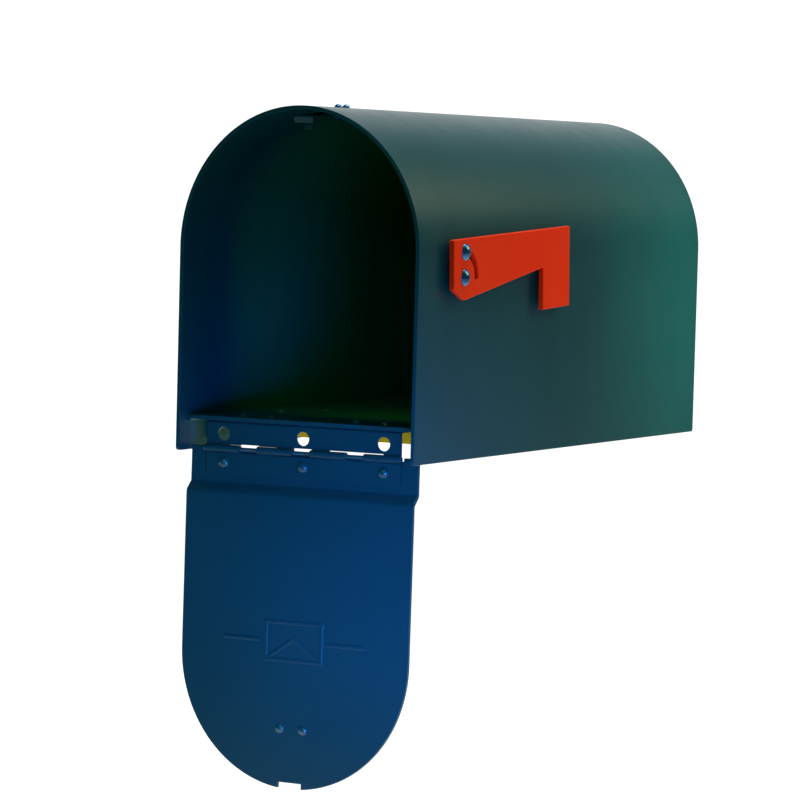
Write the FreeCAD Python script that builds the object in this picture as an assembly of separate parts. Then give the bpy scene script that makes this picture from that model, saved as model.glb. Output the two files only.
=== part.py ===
import FreeCAD, Part
import math
import os
from FreeCAD import Placement, Rotation, Vector

# A large post-mounted roadside mailbox in heavy steel plate, its door hanging open and its flag lowered.
# Millimetres. +X is the box's right side, seen from the door; +Y runs from the door to the back; +Z is up.
# The pieces are drawn with y = 0 at the front rim and z = 0 at the bottom of the side walls. place() then
# moves them so that the origin is the middle of the post bolt pattern, on the bracket's underside.

# Box
box_width = 214.0
box_depth = 546.0
wall_height = 163.0          # straight side walls, up to where the arched roof starts
roof_rise = 112.5            # height of the half-elliptical roof above the straight walls
plate = 3.2                  # steel plate of the shell, back, floor and door
skirt_height = 25.0          # side walls below the floor's underside
skirt_corner = 3.0           # rounding of the bottom corners of the side walls
edge_break = 0.4             # softened plate edges
floor_flange = 17.0          # depth of the floor pan's welded side flanges
floor_flange_setback = 32.0  # the flanges start this far behind the floor's front edge
floor_lip = 7.0              # flat strip at the floor's front edge that runs to the walls
bend_outside = 4.6           # outside radius of the bends in the plate

# Hinge
hinge_y = 14.6
hinge_z = 2.8
hinge_sheet = 1.5
hinge_pin_radius = 1.5
pin_clearance = 0.05         # running fit of the knuckles on the pin
hinge_length = 175.0
knuckle_pitch = 16.0
knuckle_gap = 0.3            # end gap between neighbouring knuckles
leaf_relief = 0.45           # a leaf's edge stands this far off the other leaf's knuckles, along Z
leaf_relief_left = -0.05     # the same at the door's two left knuckles, where the edge dips behind them
fixed_knuckles = (-5, -1, 1, 5)
door_knuckles = (-4, -2, 2, 4)
pin_head_radius = 2.3
pin_head_length = 1.2
fixed_leaf_flange = 30.0     # flange that lies under the floor, measured from the upright face
door_leaf_length = 20.3      # hinge axis to the door leaf's free edge
sheet_bend_outside = 2.6

# Door
door_side_clearance = 1.6
door_top_clearance = 3.3
door_hinge_gap = 1.45        # hinge axis down to the door's hinge edge
door_ear_rise = 1.2          # beyond the hinge's ends the door's edge stands this far above the axis
door_ear_clearance = 2.0     # hinge's end to the ear
joggle_start = 27.3          # distances from the hinge axis
joggle_end = 34.3
joggle_depth = 6.9
notch_width = 21.5
notch_depth = 5.2
hang_lean = 0.75             # the open door's tip hangs this many degrees forward of straight down
shut_lean = 1.5              # the shut door leans this many degrees outward against its latch
stop_clearance = 0.35        # shut door to the floor's front edge
rivet_spacing = 72.0
rivet_from_hinge = 11.3
rivet_head_radius = 4.7
rivet_head_height = 2.6
rivet_shank_radius = 2.4
rivet_tail_height = 1.8
rivet_clearance_hole = 5.6   # radius of the hole in the fixed leaf that takes a rivet head

# Raised envelope and bars on the door
emboss_height = 0.6
emboss_width = 3.2
emboss_from_hinge = 149.0
envelope_width = 50.0
envelope_height = 30.0
envelope_fold = 17.0
bar_length = 30.0
bar_gap = 7.0

# Pull handle
handle_from_hinge = 218.5
handle_rivet_spacing = 20.8
handle_width = 46.0
handle_base = 24.0
handle_reach = 24.0
handle_sheet = 2.5
handle_corner = 7.0
handle_bend_outside = 4.5
handle_rivet_head = 3.0      # radius

# Latch
latch_width = 17.5
latch_sheet = 1.5
latch_tip_y = 2.5
latch_drop = 3.9             # the strip's front end hangs this far below the roof
latch_split_y = 52.0
latch_end_y = 80.0
latch_split_gap = 0.3
latch_lip_depth = 5.7
latch_lip_run = 4.0
latch_lip_taper = 1.0
tongue_width = 7.0
tongue_drop = 10.2
tongue_clearance = 1.3       # shut door to the tongue behind it, which swings forward as the latch lifts
latch_screws_y = (60.3, 73.4)
roof_seat_gap = 0.35         # flat strip under the curved roof

# Flag
flag_plate = 4.0
flag_standoff = 5.0
flag_pivot_y = 61.6
flag_pivot_z = 144.7
flag_tilt = 3.0              # degrees the lowered arm rises towards the back
flag_length = 211.5
flag_behind_pivot = 19.2     # arm's front end to the pivot
flag_top = 30.3              # above the pivot
flag_front_height = 38.6
flag_heel = 17.8             # lowest corner of the hub, below the pivot
flag_heel_y = -0.2
flag_neck = 0.9              # lower edge of the arm where it meets the paddle, below the pivot
paddle_length = 50.5
paddle_bottom = 35.4         # below the pivot
flag_bolt_radius = 2.5
flag_stop_radius = 19.9      # pivot to stop pin
flag_sleeve_radius = 2.9
flag_slot_clearance = 0.3
flag_spacer_radius = 5.5
flag_washer = 0.9
flag_washer_radius = 8.0
flag_side_gap = 0.1          # running gap on each face of the flag
dome_radius = 6.8            # heads of the flag's bolts
dome_height = 3.6
nut_flats = 8.0              # nuts and washers of the flag's bolts
nut_height = 4.0
washer_radius = 5.5
washer = 1.0

# Small round-head screws of the hinge and latch
screw_radius = 1.9
screw_head_radius = 3.3
screw_head_height = 2.8
screw_slot_width = 0.9
screw_slot_depth = 1.1
hinge_screws_x = (-64.0, -38.5, 38.5, 64.0)
hinge_screws_y = 33.6
small_nut_flats = 7.0
small_nut_height = 3.2
small_washer_radius = 4.5
small_washer = 0.8

# Mounting bracket and its rivets
bracket_width = 164.0
bracket_length = 360.0
bracket_front_y = 70.0
bracket_sheet = 2.5
bracket_height = 14.0
bracket_relief = 5.0         # notch between neighbouring flanges at each corner
post_bolts_x = 101.6
post_bolts_y = 203.2
post_bolt_hole = 4.25        # radius
bracket_rivets_x = 136.0
bracket_rivets_y = 300.0
rivet_countersink = 4.2      # radius of a bracket rivet's flush end
rivet_countersink_depth = 1.4

# Clearances
hole_clearance = 0.25        # radius of a bolt hole over its bolt
thread_clearance = 0.03      # radius of a nut's bore over its bolt
bolt_end = 1.5               # how far a bolt stands out of its nut

# Worked out from the sizes above
inside = box_width / 2 - plate
roof_inside = roof_rise - plate
box_height = wall_height + roof_rise
floor_top = skirt_height + plate
barrel_radius = hinge_pin_radius + pin_clearance + hinge_sheet
leaf_front = hinge_y + barrel_radius - hinge_sheet
leaf_back = hinge_y + barrel_radius
door_half = inside - door_side_clearance
door_rise = roof_inside - door_top_clearance
door_straight = wall_height - hinge_z
door_tip = door_straight + door_rise
panel_front = leaf_back - joggle_depth
lean = math.radians(shut_lean)
shut_flange_y = hinge_y - (leaf_back - hinge_y) * math.cos(lean) - (skirt_height - hinge_z) * math.tan(lean)
floor_front = shut_flange_y + stop_clearance
flange_front = floor_front + floor_flange_setback
back_inside = box_depth - plate
bracket_y = bracket_front_y + bracket_length / 2
bracket_under = skirt_height - bracket_sheet
strip_top = wall_height + roof_inside * math.sqrt(1 - (latch_width / 2 / inside) ** 2) - roof_seat_gap
rivets_x = (-rivet_spacing, 0.0, rivet_spacing)
handle_rivets_x = (-handle_rivet_spacing / 2, handle_rivet_spacing / 2)
flag_back = box_width / 2 + flag_standoff
flag_front = flag_back + flag_plate
flag_pivot = Vector(0, flag_pivot_y, flag_pivot_z)
flag_stop = flag_pivot + Vector(0, 0, flag_stop_radius)
X_AXIS = Vector(1, 0, 0)
Y_AXIS = Vector(0, 1, 0)
Z_AXIS = Vector(0, 0, 1)


def wall_inside(z):
    """Half the box's inside width at height z."""
    above = max(0.0, z - wall_height)
    return inside * math.sqrt(1 - (above / roof_inside) ** 2)


def block(x0, x1, y0, y1, z0, z1):
    return Part.makeBox(x1 - x0, y1 - y0, z1 - z0, Vector(x0, y0, z0))


def rod(radius, start, end):
    return Part.makeCylinder(radius, (end - start).Length, start, end - start)


def tube(outer, inner, start, end):
    return rod(outer, start, end).cut(rod(inner, start, end))


def fused(shapes):
    return shapes[0].multiFuse(shapes[1:]).removeSplitter()


def outline(points, radii):
    """A closed wire through the points, each corner rounded to its radius (0 keeps it sharp)."""
    entries = []
    exits = []
    middles = []
    count = len(points)
    for i, corner in enumerate(points):
        before = (points[i - 1] - corner).normalize()
        after = (points[(i + 1) % count] - corner).normalize()
        half = math.acos(max(-1.0, min(1.0, before.dot(after)))) / 2
        reach = radii[i] / math.tan(half)
        entries.append(corner + before * reach)
        exits.append(corner + after * reach)
        centre_way = (before + after).normalize()
        middles.append(corner + centre_way * (radii[i] / math.sin(half) - radii[i]))
    edges = []
    for i in range(count):
        if radii[i] > 0:
            edges.append(Part.Arc(entries[i], middles[i], exits[i]).toShape())
        edges.append(Part.LineSegment(exits[i], entries[(i + 1) % count]).toShape())
    return Part.Wire(edges)


def plate_of(points, radii, thickness_way):
    return Part.Face(outline(points, radii)).extrude(thickness_way)


def arch_wire(half, bottom, spring, rise, y):
    """Straight sides from bottom up to spring, closed by a half ellipse above, in the plane at y."""
    centre = Vector(0, y, spring)
    top = centre + Vector(0, 0, rise)
    right = centre + Vector(half, 0, 0)
    left = centre - Vector(half, 0, 0)
    if rise >= half:
        arc = Part.ArcOfEllipse(Part.Ellipse(top, right, centre), -math.pi / 2, math.pi / 2)
    else:
        arc = Part.ArcOfEllipse(Part.Ellipse(right, top, centre), 0, math.pi)
    low_left = Vector(-half, y, bottom)
    low_right = Vector(half, y, bottom)
    sides = [
        Part.LineSegment(left, low_left).toShape(),
        Part.LineSegment(low_left, low_right).toShape(),
        Part.LineSegment(low_right, right).toShape(),
    ]
    return Part.Wire(Part.__sortEdges__([arc.toShape()] + sides))


def arch(half, bottom, spring, rise, y, depth):
    ends = [arch_wire(half, bottom, spring, rise, at) for at in (y, y + depth)]
    return Part.makeLoft(ends, True, True)


def turned(shape, seat, way):
    """Moves a shape drawn on the +Z axis to seat, with +Z turned to way."""
    shape.Placement = Placement(seat, Rotation(Z_AXIS, way))
    return shape


def dome_head(radius, height):
    """A shallow ball-shaped cap on the XY plane, rising along +Z."""
    ball = (radius * radius + height * height) / (2 * height)
    share = math.asin(radius / ball) / 2
    side = Vector(ball * math.sin(share), 0, height - ball + ball * math.cos(share))
    rim = Vector(radius, 0, 0)
    top = Vector(0, 0, height)
    edges = [
        Part.LineSegment(Vector(0, 0, 0), rim).toShape(),
        Part.Arc(rim, side, top).toShape(),
        Part.LineSegment(top, Vector(0, 0, 0)).toShape(),
    ]
    return Part.Face(Part.Wire(edges)).revolve(Vector(0, 0, 0), Z_AXIS, 360)


def dome_bolt(head_radius, head_height, radius, length, seat, way):
    """A domed head on seat, facing way, with its shank of the given length going the other way."""
    shank = rod(radius, Vector(0, 0, -length), Vector(0, 0, head_height / 2))
    return turned(dome_head(head_radius, head_height).fuse(shank), seat, way)


def slotted_screw(length, seat, way):
    """A small round-head screw with a driver slot."""
    shank = rod(screw_radius, Vector(0, 0, -length), Vector(0, 0, screw_head_height / 4))
    screw = dome_head(screw_head_radius, screw_head_height).fuse(shank)
    half = screw_slot_width / 2
    reach = screw_head_radius
    bottom = screw_head_height - screw_slot_depth
    screw = screw.cut(block(-half, half, -reach, reach, bottom, screw_head_height))
    return turned(screw, seat, way)


def rivet(head_radius, head_height, grip, radius, seat, way):
    """A domed head on seat, facing way, and the formed tail at the far side of the grip."""
    tail_radius = head_radius * 0.8
    solid = dome_head(head_radius, head_height)
    solid = solid.fuse(rod(radius, Vector(0, 0, -grip - rivet_tail_height / 2), Vector(0, 0, head_height / 2)))
    tail = dome_head(tail_radius, rivet_tail_height)
    tail = tail.mirror(Vector(0, 0, 0), Z_AXIS)
    tail.translate(Vector(0, 0, -grip))
    return turned(solid.fuse(tail), seat, way)


def nut(flats, height, bore, seat, way):
    """A hexagon nut with chamfered corners, seated on its XY plane and rising along +Z."""
    corner = flats / math.sqrt(3)
    points = []
    for i in range(6):
        angle = math.radians(60 * i)
        points.append(Vector(corner * math.cos(angle), corner * math.sin(angle), 0))
    solid = plate_of(points, [0] * 6, Vector(0, 0, height))
    skirt = Part.makeCone(corner + height - flats * 0.06, corner - flats * 0.06, height)
    solid = solid.common(skirt)
    solid = solid.cut(rod(bore, Vector(0, 0, -1), Vector(0, 0, height + 1)))
    return turned(solid, seat, way)


def ring(outer, inner, thickness, seat, way):
    return tube(outer, inner, seat, seat + Vector(way).normalize() * thickness)


def vertical_holes(radius, centres, low, high):
    holes = []
    for x, y in centres:
        holes.append(rod(radius, Vector(x, y, low), Vector(x, y, high)))
    return holes


def grid(spacing_x, spacing_y):
    """The four corners of a rectangle about the bracket's middle."""
    corners = []
    for x in (-spacing_x / 2, spacing_x / 2):
        for y in (-spacing_y / 2, spacing_y / 2):
            corners.append((x, bracket_y + y))
    return corners


def place(shape):
    moved = shape.copy()
    moved.translate(Vector(0, -bracket_y, -bracket_under))
    return moved


def hung(shape):
    """Leans a piece of the open door forward about the hinge axis."""
    moved = shape.copy()
    moved.rotate(Vector(0, hinge_y, hinge_z), X_AXIS, -hang_lean)
    return moved


def shut_point(forward, down):
    """Where a point of the open door comes to when the door is shut: its y and z.
    forward is its y beyond the hinge axis, down its distance below it."""
    y = hinge_y - forward * math.cos(lean) - down * math.sin(lean)
    z = hinge_z + down * math.cos(lean) - forward * math.sin(lean)
    return y, z


# Welded box -----------------------------------------------------------------------------------------

def body_shell():
    """Side walls and roof, bent from one sheet."""
    outer = arch(box_width / 2, 0, wall_height, roof_rise, 0, box_depth)
    inner = arch(inside, -1, wall_height, roof_inside, -1, box_depth + 2)
    shell = outer.cut(inner)
    corners = [
        Vector(-box_width, 0, 0),
        Vector(-box_width, box_depth, 0),
        Vector(-box_width, box_depth, box_height + 1),
        Vector(-box_width, 0, box_height + 1),
    ]
    side_view = plate_of(corners, [skirt_corner, skirt_corner, 0, 0], Vector(2 * box_width, 0, 0))
    shell = shell.common(side_view)
    rim = []
    for edge in shell.Edges:
        on_rim = abs(edge.BoundBox.YMin) < 0.01 and abs(edge.BoundBox.YMax) < 0.01
        if on_rim and edge.Length > 10 * plate:
            rim.append(edge)
    shell = shell.makeFillet(edge_break, rim)
    for centre in (flag_pivot, flag_stop):
        start = centre + Vector(inside - 2 * plate, 0, 0)
        hole = rod(flag_bolt_radius + hole_clearance, start, start + Vector(4 * plate, 0, 0))
        shell = shell.cut(hole)
    latch_holes = [(0, y) for y in latch_screws_y]
    top = box_height + 1
    shell = shell.cut(Part.makeCompound(vertical_holes(screw_radius + hole_clearance, latch_holes, top - plate - 3, top)))
    return shell


def rear_panel():
    """Back plate, welded inside the shell's rear edge."""
    return arch(inside, 0, wall_height, roof_inside, back_inside, plate)


def floor_pan():
    """Floor with its sides bent down and welded to the walls."""
    low = skirt_height - floor_flange
    section = [
        Vector(-inside, floor_front, floor_top),
        Vector(inside, floor_front, floor_top),
        Vector(inside, floor_front, low),
        Vector(inside - plate, floor_front, low),
        Vector(inside - plate, floor_front, skirt_height),
        Vector(-inside + plate, floor_front, skirt_height),
        Vector(-inside + plate, floor_front, low),
        Vector(-inside, floor_front, low),
    ]
    bend_inside = bend_outside - plate
    radii = [bend_outside, bend_outside, 0, 0, bend_inside, bend_inside, 0, 0]
    pan = plate_of(section, radii, Vector(0, back_inside - floor_front, 0))
    pan = pan.cut(block(-box_width, box_width, floor_front - 1, flange_front, low - 1, skirt_height - bend_inside))
    pan = pan.fuse(block(-inside, inside, floor_front, floor_front + floor_lip, skirt_height, floor_top))
    pan = pan.removeSplitter()
    below = skirt_height - 1
    above = floor_top + 1
    hinge_holes = [(x, hinge_screws_y) for x in hinge_screws_x]
    holes = vertical_holes(screw_radius + hole_clearance, hinge_holes, below, above)
    holes += vertical_holes(rivet_shank_radius + thread_clearance, grid(bracket_rivets_x, bracket_rivets_y), below, above)
    holes += vertical_holes(post_bolt_hole, grid(post_bolts_x, post_bolts_y), below, above)
    return pan.cut(Part.makeCompound(holes))


# Hinge ----------------------------------------------------------------------------------------------

def knuckle_span(index):
    """The two ends along X of a knuckle, without end gaps; the outer ones end with the leaf."""
    low = (index - 0.5) * knuckle_pitch
    high = (index + 0.5) * knuckle_pitch
    half = hinge_length / 2
    return max(low, -half), min(high, half)


def leaf_cutouts(keep, left_relief, way):
    """Blocks that clear a leaf's edge, which lies way of the axis, everywhere but at the knuckles it keeps.

    Where neither leaf has a knuckle, both are cut away and the bare pin shows.
    """
    cutters = []
    for index in range(-5, 6):
        if index not in keep:
            low, high = knuckle_span(index)
            low -= knuckle_gap / 2
            high += knuckle_gap / 2
            narrow = index < 0 and index in door_knuckles
            reach = barrel_radius + (left_relief if narrow else leaf_relief)
            ends = sorted((hinge_z - way, hinge_z + way * reach))
            cutters.append(block(low, high, hinge_y - 2 * barrel_radius, leaf_back + 1, ends[0], ends[1]))
    return Part.makeCompound(cutters)


def knuckles(indexes, bore):
    """The rolled barrels of one leaf."""
    barrels = []
    for index in indexes:
        low, high = knuckle_span(index)
        if index > -5:
            low += knuckle_gap / 2
        if index < 5:
            high -= knuckle_gap / 2
        start = Vector(low, hinge_y, hinge_z)
        barrels.append(tube(barrel_radius, bore, start, Vector(high, hinge_y, hinge_z)))
    return barrels


def hinge_fixed_leaf():
    """Hinge leaf bent back under the floor, with holes that clear the door's rivet heads."""
    half = hinge_length / 2
    section = [
        Vector(-half, leaf_front, hinge_z),
        Vector(-half, leaf_front, skirt_height),
        Vector(-half, leaf_front + fixed_leaf_flange, skirt_height),
        Vector(-half, leaf_front + fixed_leaf_flange, skirt_height - hinge_sheet),
        Vector(-half, leaf_back, skirt_height - hinge_sheet),
        Vector(-half, leaf_back, hinge_z),
    ]
    radii = [0, sheet_bend_outside, 0, 0, sheet_bend_outside - hinge_sheet, 0]
    leaf = plate_of(section, radii, Vector(hinge_length, 0, 0))
    leaf = leaf.cut(leaf_cutouts(fixed_knuckles, leaf_relief_left, 1))
    bore = hinge_pin_radius + thread_clearance
    leaf = fused([leaf] + knuckles(fixed_knuckles, bore))
    leaf = leaf.cut(rod(bore, Vector(-half, hinge_y, hinge_z), Vector(half, hinge_y, hinge_z)))
    for x in rivets_x:
        centre = Vector(x, leaf_front - 1, hinge_z + rivet_from_hinge)
        leaf = leaf.cut(rod(rivet_clearance_hole, centre, centre + Vector(0, hinge_sheet + 2, 0)))
    screw_holes = [(x, hinge_screws_y) for x in hinge_screws_x]
    low = skirt_height - hinge_sheet - 1
    return leaf.cut(Part.makeCompound(vertical_holes(screw_radius + hole_clearance, screw_holes, low, floor_top)))


def hinge_door_leaf():
    """Flat hinge leaf riveted to the door's hinge flange."""
    half = hinge_length / 2
    bottom = hinge_z - door_leaf_length
    leaf = block(-half, half, leaf_front, leaf_back, bottom, hinge_z)
    leaf = leaf.cut(leaf_cutouts(door_knuckles, leaf_relief, -1))
    bore = hinge_pin_radius + pin_clearance
    leaf = fused([leaf] + knuckles(door_knuckles, bore))
    leaf = leaf.cut(rod(bore, Vector(-half, hinge_y, hinge_z), Vector(half, hinge_y, hinge_z)))
    for x in rivets_x:
        centre = Vector(x, leaf_front - 1, hinge_z - rivet_from_hinge)
        hole = rod(rivet_shank_radius + thread_clearance, centre, centre + Vector(0, hinge_sheet + 2, 0))
        leaf = leaf.cut(hole)
    return hung(leaf)


def hinge_pin():
    half = hinge_length / 2
    solid = rod(hinge_pin_radius, Vector(-half, hinge_y, hinge_z), Vector(half, hinge_y, hinge_z))
    for side in (-1, 1):
        end = Vector(side * half, hinge_y, hinge_z)
        solid = solid.fuse(rod(pin_head_radius, end, end + Vector(side * pin_head_length, 0, 0)))
    return solid.removeSplitter()


def hinge_screws():
    length = plate + hinge_sheet + small_washer + small_nut_height + bolt_end
    return [slotted_screw(length, Vector(x, hinge_screws_y, floor_top), Z_AXIS) for x in hinge_screws_x]


def hinge_washers():
    seat = skirt_height - hinge_sheet
    bore = screw_radius + hole_clearance
    return [ring(small_washer_radius, bore, small_washer, Vector(x, hinge_screws_y, seat), -Z_AXIS)
            for x in hinge_screws_x]


def hinge_nuts():
    seat = skirt_height - hinge_sheet - small_washer
    bore = screw_radius + thread_clearance
    return [nut(small_nut_flats, small_nut_height, bore, Vector(x, hinge_screws_y, seat), -Z_AXIS)
            for x in hinge_screws_x]


# Door -----------------------------------------------------------------------------------------------

def below_hinge(distance):
    return hinge_z - distance


def ridge(start, end, y, way):
    """A raised bar between two points of the door's face, with bevelled sides; way is -1 or +1 along Y."""
    along = (end - start).normalize()
    across = along.cross(Y_AXIS) * (emboss_width / 2)
    inset = across * 0.6
    base = [start + across, end + across, end - across, start - across]
    top = [start + inset, end + inset, end - inset, start - inset]
    lift = Vector(0, way * emboss_height, 0)
    lower = Part.makePolygon([Vector(p.x, y, p.z) for p in base + base[:1]])
    upper = Part.makePolygon([Vector(p.x, y, p.z) + lift for p in top + top[:1]])
    return Part.makeLoft([lower, upper], True, True)


def emboss(y, way):
    """An envelope between two bars. The door hangs upside down, so the envelope's flap points down."""
    middle = below_hinge(emboss_from_hinge)
    half = envelope_width / 2
    low = middle - envelope_height / 2
    high = middle + envelope_height / 2
    corners = [Vector(-half, 0, low), Vector(half, 0, low), Vector(half, 0, high), Vector(-half, 0, high)]
    lines = [(corners[i], corners[(i + 1) % 4]) for i in range(4)]
    tip = Vector(0, 0, low + envelope_fold)
    lines += [(corners[0], tip), (tip, corners[1])]
    for side in (-1, 1):
        near = side * (half + bar_gap)
        lines.append((Vector(near, 0, middle), Vector(near + side * bar_length, 0, middle)))
    ridges = []
    for start, end in lines:
        reach = (end - start).normalize() * (emboss_width / 2)
        ridges.append(ridge(start - reach, end + reach, y, way))
    return fused(ridges)


def door_panel():
    """Door plate: hinge flange, 45 degree joggle, then the arched panel with the latch notch."""
    a = below_hinge(door_hinge_gap)
    b = below_hinge(joggle_start)
    c = below_hinge(joggle_end)
    tip = below_hinge(door_tip)
    slant = plate * math.tan(math.atan2(joggle_depth, joggle_end - joggle_start) / 2)
    flange = leaf_back
    left = -door_half
    section = [
        Vector(left, flange, a),
        Vector(left, flange, b),
        Vector(left, panel_front, c),
        Vector(left, panel_front, tip - 1),
        Vector(left, panel_front + plate, tip - 1),
        Vector(left, panel_front + plate, c - slant),
        Vector(left, flange + plate, b - slant),
        Vector(left, flange + plate, a),
    ]
    bend_inside = bend_outside - plate
    radii = [0, bend_inside, bend_outside, 0, 0, bend_inside, bend_outside, 0]
    sheet = plate_of(section, radii, Vector(2 * door_half, 0, 0))
    front_view = arch(door_half, -a, door_straight - hinge_z, door_rise, 0, 2 * hinge_y + 2 * plate)
    front_view = front_view.mirror(Vector(0, 0, 0), Z_AXIS)
    door = sheet.common(front_view)
    rims = []
    for edge in door.Edges:
        box = edge.BoundBox
        if box.ZMax < c - bend_outside and box.YLength < 0.01:
            rims.append(edge)
    door = door.makeFillet(edge_break, rims)
    for side in (-1, 1):
        ends = sorted((side * (hinge_length / 2 + door_ear_clearance), side * door_half))
        door = door.fuse(block(ends[0], ends[1], flange, flange + plate, a - 1, hinge_z + door_ear_rise))
    door = door.removeSplitter()
    half = notch_width / 2
    notch = block(-half, half, panel_front - 1, panel_front + plate + 1, tip - 1, tip + notch_depth)
    door = door.cut(notch)
    door = door.fuse(emboss(panel_front, -1))
    door = door.cut(emboss(panel_front + plate, -1))
    across = rivet_shank_radius + thread_clearance
    for x in rivets_x:
        start = Vector(x, flange - 1, below_hinge(rivet_from_hinge))
        door = door.cut(rod(across, start, start + Vector(0, plate + 2, 0)))
    for x in handle_rivets_x:
        start = Vector(x, panel_front - 1, below_hinge(handle_from_hinge))
        door = door.cut(rod(across, start, start + Vector(0, plate + 2, 0)))
    return hung(door)


def door_rivets():
    grip = hinge_sheet + plate
    seats = [Vector(x, leaf_front, below_hinge(rivet_from_hinge)) for x in rivets_x]
    return [hung(rivet(rivet_head_radius, rivet_head_height, grip, rivet_shank_radius, seat, -Y_AXIS))
            for seat in seats]


def door_handle():
    """Bent plate pull on the door's outer face; its lip points away from the door."""
    half = handle_width / 2
    seat = panel_front + plate
    middle = below_hinge(handle_from_hinge)
    low = middle - handle_base / 2
    high = middle + handle_base / 2
    section = [
        Vector(-half, seat, low),
        Vector(-half, seat, high),
        Vector(-half, seat + handle_reach, high),
        Vector(-half, seat + handle_reach, high - handle_sheet),
        Vector(-half, seat + handle_sheet, high - handle_sheet),
        Vector(-half, seat + handle_sheet, low),
    ]
    radii = [0, handle_bend_outside, 0, 0, handle_bend_outside - handle_sheet, 0]
    handle = plate_of(section, radii, Vector(handle_width, 0, 0))
    base_view = [Vector(-half, seat - 1, low), Vector(half, seat - 1, low),
                 Vector(half, seat - 1, high + 1), Vector(-half, seat - 1, high + 1)]
    corner = handle_corner
    handle = handle.common(plate_of(base_view, [corner, corner, 0, 0], Vector(0, handle_reach + 2, 0)))
    reach = seat + handle_reach
    lip_view = [Vector(-half, seat - 1, low - 1), Vector(half, seat - 1, low - 1),
                Vector(half, reach, low - 1), Vector(-half, reach, low - 1)]
    handle = handle.common(plate_of(lip_view, [0, 0, corner, corner], Vector(0, 0, handle_base + 2)))
    for x in handle_rivets_x:
        start = Vector(x, seat - 1, middle)
        hole = rod(rivet_shank_radius + thread_clearance, start, start + Vector(0, handle_sheet + 2, 0))
        handle = handle.cut(hole)
    return hung(handle)


def handle_rivets():
    grip = plate + handle_sheet
    seats = [Vector(x, panel_front, below_hinge(handle_from_hinge)) for x in handle_rivets_x]
    height = rivet_head_height * 0.75
    return [hung(rivet(handle_rivet_head + 1, height, grip, rivet_shank_radius, seat, -Y_AXIS)) for seat in seats]


# Latch ----------------------------------------------------------------------------------------------

def latch_root():
    """The part of the latch strip that is screwed flat under the roof."""
    half = latch_width / 2
    start = latch_split_y + latch_split_gap / 2
    low = strip_top - latch_sheet
    corners = [Vector(-half, start, low), Vector(half, start, low),
               Vector(half, latch_end_y, low), Vector(-half, latch_end_y, low)]
    strip = plate_of(corners, [0, 0, 3, 3], Vector(0, 0, latch_sheet))
    holes = vertical_holes(screw_radius + hole_clearance, [(0, y) for y in latch_screws_y], low - 1, strip_top + 1)
    return strip.cut(Part.makeCompound(holes))


def latch_spring():
    """The springing part: a strip sloping down to a hooked lip, with a tongue behind the shut door."""
    half = latch_width / 2
    end = latch_split_y - latch_split_gap / 2
    tip_z = strip_top - latch_drop
    section = [
        Vector(-half, end, strip_top),
        Vector(-half, latch_tip_y, tip_z),
        Vector(-half, latch_tip_y + latch_lip_run, tip_z - latch_lip_depth),
        Vector(-half, latch_tip_y + latch_lip_run + latch_sheet, tip_z - latch_lip_depth + latch_sheet / 2),
        Vector(-half, latch_tip_y + 2 * latch_sheet, tip_z - latch_sheet),
        Vector(-half, end, strip_top - latch_sheet),
    ]
    strip = plate_of(section, [0, 1.2, 0, 0, 0.8, 0], Vector(latch_width, 0, 0))
    taper = [
        Vector(half + 1, 0, tip_z - latch_sheet),
        Vector(half, 0, tip_z - latch_sheet),
        Vector(half - 2 * latch_lip_taper, 0, tip_z - latch_lip_depth - 1),
        Vector(half + 1, 0, tip_z - latch_lip_depth - 1),
    ]
    strip = strip.cut(plate_of(taper, [0, 0, 0, 0], Vector(0, latch_split_y / 2, 0)))
    notch_floor = door_tip - notch_depth
    tongue_y = shut_point(panel_front - hinge_y, notch_floor)[0] + tongue_clearance
    slope = latch_drop / (end - latch_tip_y)
    tongue_top = tip_z + slope * (tongue_y - latch_tip_y) - latch_sheet / 2
    wide = tongue_width / 2
    corners = [Vector(-wide, tongue_y, tongue_top), Vector(wide, tongue_y, tongue_top),
               Vector(wide, tongue_y, tongue_top - tongue_drop), Vector(-wide, tongue_y, tongue_top - tongue_drop)]
    tongue = plate_of(corners, [0, 0, 1.2, 1.2], Vector(0, latch_sheet, 0))
    return fused([strip, tongue])


def latch_screws():
    length = box_height - strip_top + latch_sheet + small_nut_height + bolt_end
    return [slotted_screw(length, Vector(0, y, box_height), Z_AXIS) for y in latch_screws_y]


def latch_nuts():
    seat = strip_top - latch_sheet
    bore = screw_radius + thread_clearance
    return [nut(small_nut_flats, small_nut_height, bore, Vector(0, y, seat), -Z_AXIS) for y in latch_screws_y]


# Flag -----------------------------------------------------------------------------------------------

def flag_point(along, up, x=flag_back):
    """A point of the flag, from its distance along the arm and above the pivot."""
    return Vector(x, flag_pivot_y + along, flag_pivot_z + up)


def flag_slot():
    """Arc slot about the pivot, from straight above the stop's lowered place to its raised place."""
    half = flag_sleeve_radius + flag_slot_clearance
    first = math.radians(90 - flag_tilt)
    inner = flag_stop_radius - half
    outer = flag_stop_radius + half

    def at(radius, angle):
        return flag_point(radius * math.cos(angle), radius * math.sin(angle))

    cap = half / flag_stop_radius
    edges = [
        Part.Arc(at(inner, first), at(inner, first / 2), at(inner, 0)).toShape(),
        Part.Arc(at(inner, 0), at(flag_stop_radius, -cap), at(outer, 0)).toShape(),
        Part.Arc(at(outer, 0), at(outer, first / 2), at(outer, first)).toShape(),
        Part.Arc(at(outer, first), at(flag_stop_radius, first + cap), at(inner, first)).toShape(),
    ]
    return Part.Face(Part.Wire(edges)).extrude(Vector(flag_plate, 0, 0))


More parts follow.
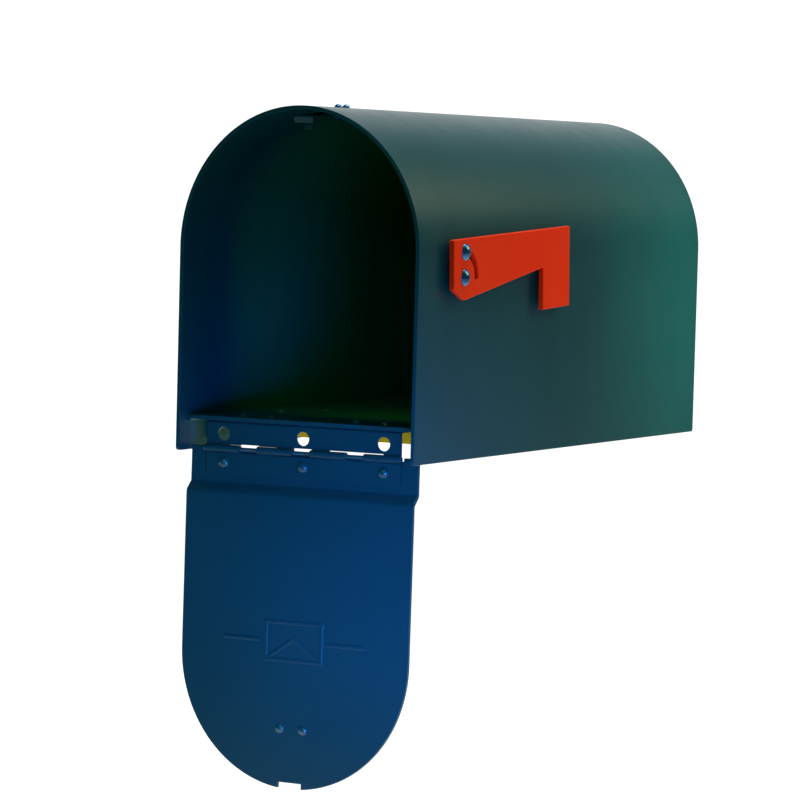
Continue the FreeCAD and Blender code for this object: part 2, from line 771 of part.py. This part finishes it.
def flag():
    end = flag_length - flag_behind_pivot
    points = [
        flag_point(-flag_behind_pivot, flag_top),
        flag_point(end, flag_top),
        flag_point(end, -paddle_bottom),
        flag_point(end - paddle_length, -paddle_bottom),
        flag_point(end - paddle_length, -flag_neck),
        flag_point(flag_heel_y, -flag_heel),
        flag_point(-flag_behind_pivot, flag_top - flag_front_height),
    ]
    solid = plate_of(points, [1.0, 1.0, 1.0, 1.0, 0.6, 1.0, 1.0], Vector(flag_plate, 0, 0))
    solid = solid.cut(flag_slot())
    face_edges = []
    for edge in solid.Edges:
        if abs(edge.BoundBox.XMin - flag_front) < 0.01 and abs(edge.BoundBox.XMax - flag_front) < 0.01:
            face_edges.append(edge)
    solid = solid.makeChamfer(edge_break, face_edges)
    hole = rod(flag_bolt_radius + pin_clearance, flag_point(0, 0, flag_back - 1), flag_point(0, 0, flag_front + 1))
    solid = solid.cut(hole)
    solid.rotate(flag_pivot, X_AXIS, flag_tilt)
    return solid


def inner_seat(centre):
    """Where the washer of a flag bolt meets the inside of the wall."""
    return centre + Vector(wall_inside(centre.z + washer_radius), 0, 0)


def flag_bolt(centre):
    """Domed bolt through the flag, spacer and wall, to its nut inside."""
    seat = centre + Vector(flag_front + flag_side_gap, 0, 0)
    length = seat.x - inner_seat(centre).x + washer + nut_height + bolt_end
    return dome_bolt(dome_radius, dome_height, flag_bolt_radius, length, seat, X_AXIS)


def flag_pivot_bolt():
    return flag_bolt(flag_pivot)


def flag_stop_bolt():
    return flag_bolt(flag_stop)


def flag_spacer():
    """Round spacer that holds the flag off the wall at its pivot."""
    seat = flag_pivot + Vector(box_width / 2, 0, 0)
    length = flag_standoff - flag_washer - flag_side_gap
    return ring(flag_spacer_radius, flag_bolt_radius + hole_clearance, length, seat, X_AXIS)


def flag_washers():
    """Nylon washer between the spacer and the flag."""
    seat = flag_pivot + Vector(flag_back - flag_side_gap - flag_washer, 0, 0)
    return ring(flag_washer_radius, flag_bolt_radius + hole_clearance, flag_washer, seat, X_AXIS)


def flag_stop_sleeve():
    """Sleeve on the stop bolt, from the wall to the bolt's head, that the slot runs on."""
    seat = flag_stop + Vector(box_width / 2, 0, 0)
    length = flag_standoff + flag_plate + flag_side_gap
    return ring(flag_sleeve_radius, flag_bolt_radius + thread_clearance, length, seat, X_AXIS)


def flag_nut_washers():
    bore = flag_bolt_radius + hole_clearance
    return [ring(washer_radius, bore, washer, inner_seat(centre), -X_AXIS) for centre in (flag_pivot, flag_stop)]


def flag_nuts():
    bore = flag_bolt_radius + thread_clearance
    seats = [inner_seat(centre) - Vector(washer, 0, 0) for centre in (flag_pivot, flag_stop)]
    return [nut(nut_flats, nut_height, bore, seat, -X_AXIS) for seat in seats]


# Mounting bracket -----------------------------------------------------------------------------------

def mounting_bracket():
    """Shallow pan under the floor with four flanges down; the post's arm or board bolts up into it."""
    half = bracket_width / 2
    back = bracket_front_y + bracket_length
    low = skirt_height - bracket_height
    pan = block(-half, half, bracket_front_y, back, low, skirt_height)
    top_edges = [edge for edge in pan.Edges if edge.BoundBox.ZMin > skirt_height - 0.01]
    pan = pan.makeFillet(bracket_sheet + 1, top_edges)
    t = bracket_sheet
    pan = pan.cut(block(-half + t, half - t, bracket_front_y + t, back - t, low - 1, bracket_under))
    relief = bracket_relief
    for x in (-half, half - relief):
        for y in (bracket_front_y, back - relief):
            pan = pan.cut(block(x, x + relief, y, y + relief, low - 1, skirt_height + 1))
    holes = vertical_holes(post_bolt_hole, grid(post_bolts_x, post_bolts_y), low, floor_top)
    rivet_places = grid(bracket_rivets_x, bracket_rivets_y)
    holes += vertical_holes(rivet_shank_radius + thread_clearance, rivet_places, low, floor_top)
    holes += [rivet_cone(x, y, thread_clearance) for x, y in rivet_places]
    return pan.cut(Part.makeCompound(holes))


def rivet_cone(x, y, clearance):
    """The countersink in the bracket's underside, which the rivet's formed end fills flush."""
    cone = Part.makeCone(rivet_countersink + clearance, rivet_shank_radius + clearance, rivet_countersink_depth)
    cone.translate(Vector(x, y, bracket_under))
    return cone


def bracket_rivets():
    rivets = []
    for x, y in grid(bracket_rivets_x, bracket_rivets_y):
        head = dome_head(rivet_head_radius, rivet_head_height)
        head.translate(Vector(x, y, floor_top))
        shank = rod(rivet_shank_radius, Vector(x, y, bracket_under), Vector(x, y, floor_top + rivet_head_height / 2))
        rivets.append(fused([head, shank, rivet_cone(x, y, 0)]))
    return rivets


PIECES = {
    "body_shell": body_shell,
    "rear_panel": rear_panel,
    "floor_pan": floor_pan,
    "hinge_fixed_leaf": hinge_fixed_leaf,
    "hinge_pin": hinge_pin,
    "hinge_screws": hinge_screws,
    "hinge_washers": hinge_washers,
    "hinge_nuts": hinge_nuts,
    "hinge_door_leaf": hinge_door_leaf,
    "door_panel": door_panel,
    "door_rivets": door_rivets,
    "door_handle": door_handle,
    "handle_rivets": handle_rivets,
    "latch_root": latch_root,
    "latch_spring": latch_spring,
    "latch_screws": latch_screws,
    "latch_nuts": latch_nuts,
    "flag": flag,
    "flag_pivot_bolt": flag_pivot_bolt,
    "flag_stop_bolt": flag_stop_bolt,
    "flag_stop_sleeve": flag_stop_sleeve,
    "flag_spacer": flag_spacer,
    "flag_washer": flag_washers,
    "flag_nut_washers": flag_nut_washers,
    "flag_nuts": flag_nuts,
    "mounting_bracket": mounting_bracket,
    "bracket_rivets": bracket_rivets,
}

os.makedirs("parts", exist_ok=True)
for name, make in PIECES.items():
    made = make()
    if isinstance(made, list):
        made = Part.makeCompound(made)
    place(made).exportStep("parts/" + name + ".step")
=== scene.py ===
import math

import bpy
import numpy as np
from mathutils import Matrix, Vector


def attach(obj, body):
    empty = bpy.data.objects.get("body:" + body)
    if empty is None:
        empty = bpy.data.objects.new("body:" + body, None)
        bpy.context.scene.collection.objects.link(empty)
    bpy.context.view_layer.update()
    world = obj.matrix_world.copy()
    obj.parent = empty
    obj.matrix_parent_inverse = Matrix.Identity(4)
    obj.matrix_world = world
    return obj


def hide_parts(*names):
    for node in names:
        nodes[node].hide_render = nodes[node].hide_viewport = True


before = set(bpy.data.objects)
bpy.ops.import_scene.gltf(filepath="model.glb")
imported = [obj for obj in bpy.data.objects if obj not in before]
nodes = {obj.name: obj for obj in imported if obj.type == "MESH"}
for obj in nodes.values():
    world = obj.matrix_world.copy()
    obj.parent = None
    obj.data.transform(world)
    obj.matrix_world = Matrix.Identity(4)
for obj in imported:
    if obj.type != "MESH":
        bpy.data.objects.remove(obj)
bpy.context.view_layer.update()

scene = bpy.context.scene
scene.view_settings.view_transform = "Standard"
scene.view_settings.look = "None"

# Camera ----------------------------------------------------------------------------------------------

CAMERA_PLACE = Vector((1.39614, -2.74746, 0.19968))
CAMERA_YAW = math.radians(28.196)
CAMERA_PITCH = math.radians(3.987)
CAMERA_ROLL = math.radians(1.494)
LENS_MM = 164.76
SENSOR_MM = 36
LENS_SHIFT = (0.0531, 0.0383)
CLIP_RANGE = (0.05, 50)


def add_camera():
    """A long lens looking back along the box, from the right of its door and a little above."""
    yaw, pitch, roll = CAMERA_YAW, CAMERA_PITCH, CAMERA_ROLL
    ahead = Vector((-math.sin(yaw) * math.cos(pitch), math.cos(yaw) * math.cos(pitch), -math.sin(pitch)))
    level = Vector((math.cos(yaw), math.sin(yaw), 0))
    upward = level.cross(ahead)
    right = level * math.cos(roll) + upward * math.sin(roll)
    top = upward * math.cos(roll) - level * math.sin(roll)
    data = bpy.data.cameras.new("viewpoint")
    data.lens = LENS_MM
    data.sensor_width = SENSOR_MM
    data.shift_x, data.shift_y = LENS_SHIFT
    data.clip_start, data.clip_end = CLIP_RANGE
    camera = bpy.data.objects.new("viewpoint", data)
    turn = Matrix((right, top, -ahead)).transposed().to_4x4()
    camera.matrix_world = Matrix.Translation(CAMERA_PLACE) @ turn
    scene.collection.objects.link(camera)
    scene.camera = camera


# Light and stage ---------------------------------------------------------------------------------------

FLOOR_LEVEL = -0.31
FLOOR_HALF_WIDTH = 2.6
BACKDROP_WHITE = (1.15, 1.15, 1.15)
LOW_BEHIND = (-0.4717, 0.8792, -0.0695)  # direction of the pale patch that lights the object from behind
TO_THE_RIGHT = (0.93, 0.363, 0)          # direction in which the floor's glow falls off


def softbox(name, place, aim, size, power, tint, spread=180):
    """A rectangular soft light at place, facing aim; a small spread, in degrees, keeps it to a beam."""
    data = bpy.data.lights.new(name, "AREA")
    data.shape = "RECTANGLE"
    data.size, data.size_y = size
    data.energy = power
    data.color = tint
    data.spread = math.radians(spread)
    lamp = bpy.data.objects.new(name, data)
    facing = (Vector(aim) - Vector(place)).to_track_quat("-Z", "Y")
    lamp.matrix_world = Matrix.Translation(place) @ facing.to_matrix().to_4x4()
    lamp.visible_camera = False
    scene.collection.objects.link(lamp)


def studio_surroundings():
    """A pale patch low behind lights the object, with dim blue-green light from in front. The camera itself sees a
    plain white backdrop."""
    world = bpy.data.worlds.new("studio")
    scene.world = world
    world.use_nodes = True
    tree = world.node_tree
    tree.nodes.clear()
    out = tree.nodes.new("ShaderNodeOutputWorld")
    sky = tree.nodes.new("ShaderNodeBackground")
    direction = tree.nodes.new("ShaderNodeTexCoord").outputs["Generated"]
    split = tree.nodes.new("ShaderNodeSeparateXYZ")
    tree.links.new(direction, split.inputs[0])
    patch = ramp(tree, reach(tree, direction, LOW_BEHIND),
                 [(0.78, (0, 0, 0)), (0.87, (0.65, 0.65, 0.60)), (0.94, (1, 1, 1))])
    levels = ramp(tree, remap(tree, split.outputs["Z"], -1, 1),
                  [(0.0, (0.08, 0.09, 0.09)), (0.50, (0.075, 0.08, 0.065)),
                   (0.62, (0.04, 0.06, 0.06)), (1.0, (0.12, 0.14, 0.14))])
    depth = remap(tree, split.outputs["Y"], -1, 1)
    front = ramp(tree, depth, [(0.22, (1, 1, 1)), (0.50, (0, 0, 0))])
    front_tint = ramp(tree, depth, [(0.05, (0.0, 0.045, 0.005)), (0.20, (0.0, 0.17, 0.165))])
    levels = blend_colour(tree, front, levels, front_tint)
    glow = blend_colour(tree, patch, levels, BACKDROP_WHITE)
    seen = tree.nodes.new("ShaderNodeLightPath").outputs["Is Camera Ray"]
    tree.links.new(blend_colour(tree, seen, glow, BACKDROP_WHITE), sky.inputs["Color"])
    tree.links.new(sky.outputs[0], out.inputs["Surface"])


def pale_floor():
    """A flat pale floor below the open door. Its glow falls off to the right and in front; the camera itself sees
    it white."""
    half = FLOOR_HALF_WIDTH
    mesh = bpy.data.meshes.new("floor_plane")
    corners = [(x, y, FLOOR_LEVEL) for x, y in ((-half, -half), (half, -half), (half, half), (-half, half))]
    mesh.from_pydata(corners, [], [(0, 1, 2, 3)])
    plane = bpy.data.objects.new("floor_plane", mesh)
    scene.collection.objects.link(plane)
    material = bpy.data.materials.new("pale_floor")
    material.use_nodes = True
    tree = material.node_tree
    shader = tree.nodes["Principled BSDF"]
    shader.inputs["Base Color"].default_value = (0.35, 0.35, 0.35, 1)
    shader.inputs["Roughness"].default_value = 0.9
    shader.inputs["Emission Strength"].default_value = 0.95
    place = tree.nodes.new("ShaderNodeTexCoord").outputs["Object"]
    split = tree.nodes.new("ShaderNodeSeparateXYZ")
    tree.links.new(place, split.inputs[0])
    keep_left = ramp(tree, reach(tree, place, TO_THE_RIGHT), [(0.40, (1, 1, 1)), (0.75, (0.25, 0.25, 0.25))])
    glow = blend_colour(tree, remap(tree, split.outputs["Y"], -0.55, -0.20), (0.01, 0.10, 0.13), keep_left)
    seen = tree.nodes.new("ShaderNodeLightPath").outputs["Is Camera Ray"]
    tree.links.new(blend_colour(tree, seen, glow, (1.0, 1.0, 1.0)), shader.inputs["Emission Color"])
    mesh.materials.append(material)


# Finishes ----------------------------------------------------------------------------------------------

def remap(tree, value, low, high):
    """Value as a fraction of the way from low to high."""
    node = tree.nodes.new("ShaderNodeMapRange")
    node.inputs["From Min"].default_value = low
    node.inputs["From Max"].default_value = high
    tree.links.new(value, node.inputs["Value"])
    return node.outputs[0]


def reach(tree, vector, direction):
    """How far a vector reaches in a direction."""
    node = tree.nodes.new("ShaderNodeVectorMath")
    node.operation = "DOT_PRODUCT"
    node.inputs[1].default_value = direction
    tree.links.new(vector, node.inputs[0])
    return node.outputs["Value"]


def ramp(tree, value, stops):
    """A colour for a value, from (position, colour) stops."""
    node = tree.nodes.new("ShaderNodeValToRGB")
    bar = node.color_ramp
    while len(bar.elements) > 1:
        bar.elements.remove(bar.elements[-1])
    bar.elements[0].position = stops[0][0]
    bar.elements[0].color = (*stops[0][1], 1)
    for position, colour in stops[1:]:
        bar.elements.new(position).color = (*colour, 1)
    tree.links.new(value, node.inputs["Fac"])
    return node.outputs["Color"]


def noise(tree, coords, scale, detail=3.0, rough=0.5, stretch=(1, 1, 1)):
    """Smooth noise from 0 to 1."""
    mapping = tree.nodes.new("ShaderNodeMapping")
    mapping.inputs["Scale"].default_value = stretch
    tree.links.new(coords, mapping.inputs["Vector"])
    node = tree.nodes.new("ShaderNodeTexNoise")
    node.inputs["Scale"].default_value = scale
    node.inputs["Detail"].default_value = detail
    node.inputs["Roughness"].default_value = rough
    tree.links.new(mapping.outputs[0], node.inputs["Vector"])
    return node.outputs["Fac"]


def blend_colour(tree, factor, first, second):
    """First where the factor is 0, second where it is 1; each is a colour or a socket."""
    mix = tree.nodes.new("ShaderNodeMix")
    mix.data_type = "RGBA"
    tree.links.new(factor, mix.inputs["Factor"])
    for socket, colour in (("A", first), ("B", second)):
        if isinstance(colour, tuple):
            mix.inputs[socket].default_value = (*colour, 1)
        else:
            tree.links.new(colour, mix.inputs[socket])
    return mix.outputs["Result"]


def edge_mask(tree, radius, low, high):
    """1 along sharp outer and inner edges, 0 on flats: how far a rounded normal turns from the true one."""
    rounded = tree.nodes.new("ShaderNodeBevel")
    rounded.samples = 6
    rounded.inputs["Radius"].default_value = radius
    true = tree.nodes.new("ShaderNodeNewGeometry")
    dot = tree.nodes.new("ShaderNodeVectorMath")
    dot.operation = "DOT_PRODUCT"
    tree.links.new(rounded.outputs[0], dot.inputs[0])
    tree.links.new(true.outputs["Normal"], dot.inputs[1])
    return ramp(tree, dot.outputs["Value"], [(low, (1, 1, 1)), (high, (0, 0, 0))]), rounded.outputs[0]


def powder_coat(name, colour, faded, worn_edge_highlight, roughness, peel=0.035, gloss=0.5, round_edges=0.0006):
    """Oven-cured paint: fine orange peel, faint fading and dust, and edges lightened in patches, partly rubbed wear
    and partly a painted edge highlight.
    """
    material = bpy.data.materials.new(name)
    material.use_nodes = True
    tree = material.node_tree
    shader = tree.nodes["Principled BSDF"]
    coords = tree.nodes.new("ShaderNodeTexCoord").outputs["Object"]
    edges, rounded = edge_mask(tree, round_edges, 0.80, 0.97)
    fade = ramp(tree, noise(tree, coords, 9, 5, 0.6), [(0.35, (0, 0, 0)), (0.75, (1, 1, 1))])
    paint = blend_colour(tree, fade, colour, faded)
    specks = ramp(tree, noise(tree, coords, 420, 2, 0.5), [(0.70, (0, 0, 0)), (0.76, (1, 1, 1))])
    dusted = blend_colour(tree, specks, paint, faded)
    # Lighter patches along the edges: partly rubbed wear, partly a painted highlight where the edges catch the
    # light.
    worn_and_lit_patches = ramp(tree, noise(tree, coords, 260, 4, 0.65), [(0.50, (0, 0, 0)), (0.60, (1, 1, 1))])
    both = tree.nodes.new("ShaderNodeMath")
    both.operation = "MULTIPLY"
    tree.links.new(edges, both.inputs[0])
    tree.links.new(worn_and_lit_patches, both.inputs[1])
    tree.links.new(blend_colour(tree, both.outputs[0], dusted, worn_edge_highlight), shader.inputs["Base Color"])
    rough = tree.nodes.new("ShaderNodeMapRange")
    rough.inputs["To Min"].default_value = roughness - 0.05
    rough.inputs["To Max"].default_value = roughness + 0.07
    tree.links.new(noise(tree, coords, 35, 4, 0.6), rough.inputs["Value"])
    tree.links.new(rough.outputs[0], shader.inputs["Roughness"])
    shader.inputs["Specular IOR Level"].default_value = gloss
    bump = tree.nodes.new("ShaderNodeBump")
    bump.inputs["Strength"].default_value = peel
    bump.inputs["Distance"].default_value = 0.001
    tree.links.new(noise(tree, coords, 700, 2, 0.45), bump.inputs["Height"])
    tree.links.new(rounded, bump.inputs["Normal"])
    tree.links.new(bump.outputs[0], shader.inputs["Normal"])
    return material


def plated_steel(name, colour, tarnish, roughness):
    """Zinc plate: bright metal with faint clouds, fine tool marks and softened edges."""
    material = bpy.data.materials.new(name)
    material.use_nodes = True
    tree = material.node_tree
    shader = tree.nodes["Principled BSDF"]
    coords = tree.nodes.new("ShaderNodeTexCoord").outputs["Object"]
    clouds = ramp(tree, noise(tree, coords, 240, 4, 0.6), [(0.40, (0, 0, 0)), (0.68, (1, 1, 1))])
    tree.links.new(blend_colour(tree, clouds, colour, tarnish), shader.inputs["Base Color"])
    shader.inputs["Metallic"].default_value = 0.9
    rough = tree.nodes.new("ShaderNodeMapRange")
    rough.inputs["To Min"].default_value = roughness - 0.08
    rough.inputs["To Max"].default_value = roughness + 0.12
    tree.links.new(noise(tree, coords, 600, 3, 0.6), rough.inputs["Value"])
    tree.links.new(rough.outputs[0], shader.inputs["Roughness"])
    rounded = tree.nodes.new("ShaderNodeBevel")
    rounded.inputs["Radius"].default_value = 0.0003
    bump = tree.nodes.new("ShaderNodeBump")
    bump.inputs["Strength"].default_value = 0.15
    bump.inputs["Distance"].default_value = 0.0004
    tree.links.new(noise(tree, coords, 2200, 2, 0.5), bump.inputs["Height"])
    tree.links.new(rounded.outputs[0], bump.inputs["Normal"])
    tree.links.new(bump.outputs[0], shader.inputs["Normal"])
    return material


def moulded_nylon(name, colour):
    """Black moulded plastic, slightly mottled."""
    material = bpy.data.materials.new(name)
    material.use_nodes = True
    tree = material.node_tree
    shader = tree.nodes["Principled BSDF"]
    coords = tree.nodes.new("ShaderNodeTexCoord").outputs["Object"]
    mottle = noise(tree, coords, 500, 3, 0.5)
    lighter = tuple(c * 2 for c in colour)
    tree.links.new(blend_colour(tree, mottle, colour, lighter), shader.inputs["Base Color"])
    shader.inputs["Roughness"].default_value = 0.55
    bump = tree.nodes.new("ShaderNodeBump")
    bump.inputs["Strength"].default_value = 0.2
    bump.inputs["Distance"].default_value = 0.0003
    tree.links.new(noise(tree, coords, 1500, 2, 0.5), bump.inputs["Height"])
    tree.links.new(bump.outputs[0], shader.inputs["Normal"])
    return material


# Bent shell --------------------------------------------------------------------------------------------

SHELL_HALF = 0.1054
SHELL_RISE = 0.1109
SHELL_SPRING = 0.163 - 0.0225
SHELL_BOTTOM = -0.0225
SHELL_FRONT = -0.25
SHELL_DEPTH = 0.546
SHELL_PLATE = 0.0032
SHELL_CORNER = 0.003
EDGE_BREAK = 0.0004


def shell_mesh():
    """Side walls and roof. The middle line rises straight, goes round half an ellipse (half width times cosine,
    rise times sine) and comes down straight. Round each of its points runs a rounded rectangle in the plane of
    the wall's normal and the box's length, drawn in by one edge break at the two bottom ends."""
    turn = np.linspace(0, math.pi / 2, 5)
    end_z = EDGE_BREAK * (1 - np.sin(turn))[::-1]
    end_in = EDGE_BREAK * (1 - np.cos(turn))[::-1]
    corner_z = SHELL_CORNER * (1 - np.cos(np.linspace(0.55, math.pi / 2, 7)))
    rise_z = np.concatenate([end_z, corner_z, np.linspace(0.02, 0.163, 6)[:-1]]) + SHELL_BOTTOM
    inset = np.concatenate([end_in, np.zeros(len(rise_z) - len(end_in))])
    round_angle = np.linspace(math.pi, 0, 129)
    count = len(rise_z)
    x = np.concatenate([np.full(count, -SHELL_HALF), SHELL_HALF * np.cos(round_angle), np.full(count, SHELL_HALF)])
    z = np.concatenate([rise_z, SHELL_SPRING + SHELL_RISE * np.sin(round_angle), rise_z[::-1]])
    flat = np.zeros(count)
    slope_x = SHELL_RISE * np.cos(round_angle)
    slope_z = SHELL_HALF * np.sin(round_angle)
    length = np.hypot(slope_x, slope_z)
    normal_x = np.concatenate([flat - 1, slope_x / length, flat + 1])
    normal_z = np.concatenate([flat, slope_z / length, flat])
    inset = np.concatenate([inset, np.zeros(len(round_angle)), inset[::-1]])
    low = np.clip(SHELL_CORNER - (z - SHELL_BOTTOM), 0, SHELL_CORNER)
    cut_back = SHELL_CORNER - np.sqrt(SHELL_CORNER ** 2 - low ** 2)
    loop_y, loop_n, side_y, side_n = thickness_loop()
    near = SHELL_FRONT + cut_back + inset
    far = SHELL_FRONT + SHELL_DEPTH - cut_back - inset
    half = SHELL_PLATE / 2 - inset
    middle_y = (near + far) / 2
    half_y = (far - near) / 2
    across = side_n[None, :] * (half - EDGE_BREAK)[:, None] + loop_n[None, :]
    along = middle_y[:, None] + side_y[None, :] * (half_y - EDGE_BREAK)[:, None] + loop_y[None, :]
    points = np.stack([x[:, None] + normal_x[:, None] * across, along, z[:, None] + normal_z[:, None] * across], 2)
    return closed_tube("shell_sheet", points)


def thickness_loop():
    """The rounded rectangle: which side each point belongs to (-1 or +1 along the length and the normal, and
    parts of the way along the two long sides), and its offset round the corner."""
    turn = np.linspace(0, math.pi / 2, 5)
    offsets_y, offsets_n, sides_y, sides_n = [], [], [], []
    for quarter, (side_y, side_n) in enumerate(((1, 1), (-1, 1), (-1, -1), (1, -1))):
        angle = turn + quarter * math.pi / 2
        offsets_y.append(EDGE_BREAK * np.cos(angle))
        offsets_n.append(EDGE_BREAK * np.sin(angle))
        sides_y.append(np.full(len(turn), float(side_y)))
        sides_n.append(np.full(len(turn), float(side_n)))
        if quarter % 2 == 0:
            steps = np.linspace(side_y, -side_y, 9)[1:-1]
            offsets_y.append(np.zeros(len(steps)))
            offsets_n.append(np.full(len(steps), EDGE_BREAK * side_n))
            sides_y.append(steps)
            sides_n.append(np.full(len(steps), float(side_n)))
    return tuple(np.concatenate(part) for part in (offsets_y, offsets_n, sides_y, sides_n))


def closed_tube(name, points):
    """A mesh from rows of points, each row a closed loop; the two end loops are filled flat."""
    rows, columns, _ = points.shape
    index = np.arange(rows * columns).reshape(rows, columns)
    after = np.roll(index, -1, axis=1)
    quads = np.stack([index[:-1], after[:-1], after[1:], index[1:]], 2).reshape(-1, 4)
    faces = quads.tolist() + [index[0][::-1].tolist(), index[-1].tolist()]
    mesh = bpy.data.meshes.new(name)
    mesh.from_pydata(points.reshape(-1, 3).tolist(), [], faces)
    mesh.polygons.foreach_set("use_smooth", np.ones(len(mesh.polygons), bool))
    mesh.update()
    piece = bpy.data.objects.new(name, mesh)
    scene.collection.objects.link(piece)
    weighted = piece.modifiers.new("flat_faces", "WEIGHTED_NORMAL")
    weighted.keep_sharp = True
    return piece


# Assembly ----------------------------------------------------------------------------------------------

def finish_nodes(names, material):
    """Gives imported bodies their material."""
    for name in names:
        mesh = nodes[name].data
        mesh.materials.clear()
        mesh.materials.append(material)


add_camera()
studio_surroundings()
pale_floor()
softbox("right_rear_softbox", (1.7, 1.6, 1.5), (0.1, 0, 0.1), (1.3, 1.3), 25, (1.0, 0.95, 0.55))
softbox("overhead_softbox", (0.2, 0.25, 1.7), (0.05, 0.05, 0.2), (1.0, 1.2), 11, (0.85, 1.0, 1.0), 110)
softbox("door_side_light", (0.42, -0.62, -0.16), (0.06, -0.24, -0.14), (0.16, 0.30), 0.6, (0.0, 0.20, 1.0), 45)
softbox("rear_side_light", (0.62, 0.30, 0.12), (0.107, 0.29, 0.10), (0.15, 0.30), 0.36, (1.0, 1.0, 0.65), 50)
softbox("inside_light", (0.02, -0.19, 0.10), (0.0, 0.3, 0.09), (0.10, 0.10), 0.09, (0.9, 0.9, 0.0), 170)
softbox("glint_light", (0.45, -2.2, 0.85), (0.0, -0.1, 0.0), (0.14, 0.14), 3.5, (1.0, 1.0, 1.0))
softbox("underside_light", (0.0, -0.205, -0.10), (0.0, -0.18, 0.0), (0.18, 0.015), 0.10, (1.0, 0.90, 0.30), 120)

# Each paint's third colour is the lighter colour its edges take in patches, partly wear and partly a painted edge
# highlight.
TEAL = powder_coat("teal_powder_coat", (0.001, 0.052, 0.064), (0.002, 0.060, 0.073), (0.02, 0.14, 0.18), 0.34,
                   gloss=0.22)
ORANGE = powder_coat("orange_powder_coat", (0.97, 0.030, 0.001), (0.99, 0.040, 0.002), (1.0, 0.12, 0.03), 0.36,
                     gloss=0.1)
GLOSSY_TEAL = powder_coat("glossy_teal_paint", (0.001, 0.062, 0.076), (0.003, 0.07, 0.08), (0.02, 0.12, 0.15), 0.12,
                          gloss=0.9, round_edges=0.0003)
BLUE_ZINC = plated_steel("blue_zinc_plate", (0.05, 0.18, 0.38), (0.03, 0.10, 0.22), 0.22)
YELLOW_ZINC = powder_coat("yellow_passivated_zinc", (0.62, 0.45, 0.006), (0.50, 0.38, 0.01), (0.7, 0.6, 0.3), 0.45)
NYLON = moulded_nylon("black_nylon", (0.012, 0.012, 0.013))

shell = shell_mesh()
shell.data.materials.append(TEAL)
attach(shell, "box")
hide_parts("body_shell")

finish_nodes(["body_shell", "rear_panel", "floor_pan", "hinge_fixed_leaf", "hinge_door_leaf", "door_panel",
              "door_handle", "latch_root", "latch_spring"], TEAL)
finish_nodes(["flag"], ORANGE)
finish_nodes(["hinge_pin", "hinge_screws", "door_rivets", "handle_rivets", "bracket_rivets"], GLOSSY_TEAL)
finish_nodes(["hinge_washers", "hinge_nuts", "latch_screws", "latch_nuts", "flag_pivot_bolt",
              "flag_stop_bolt", "flag_nut_washers", "flag_nuts", "flag_spacer"], BLUE_ZINC)
finish_nodes(["flag_stop_sleeve", "flag_washer"], NYLON)
finish_nodes(["mounting_bracket"], YELLOW_ZINC)
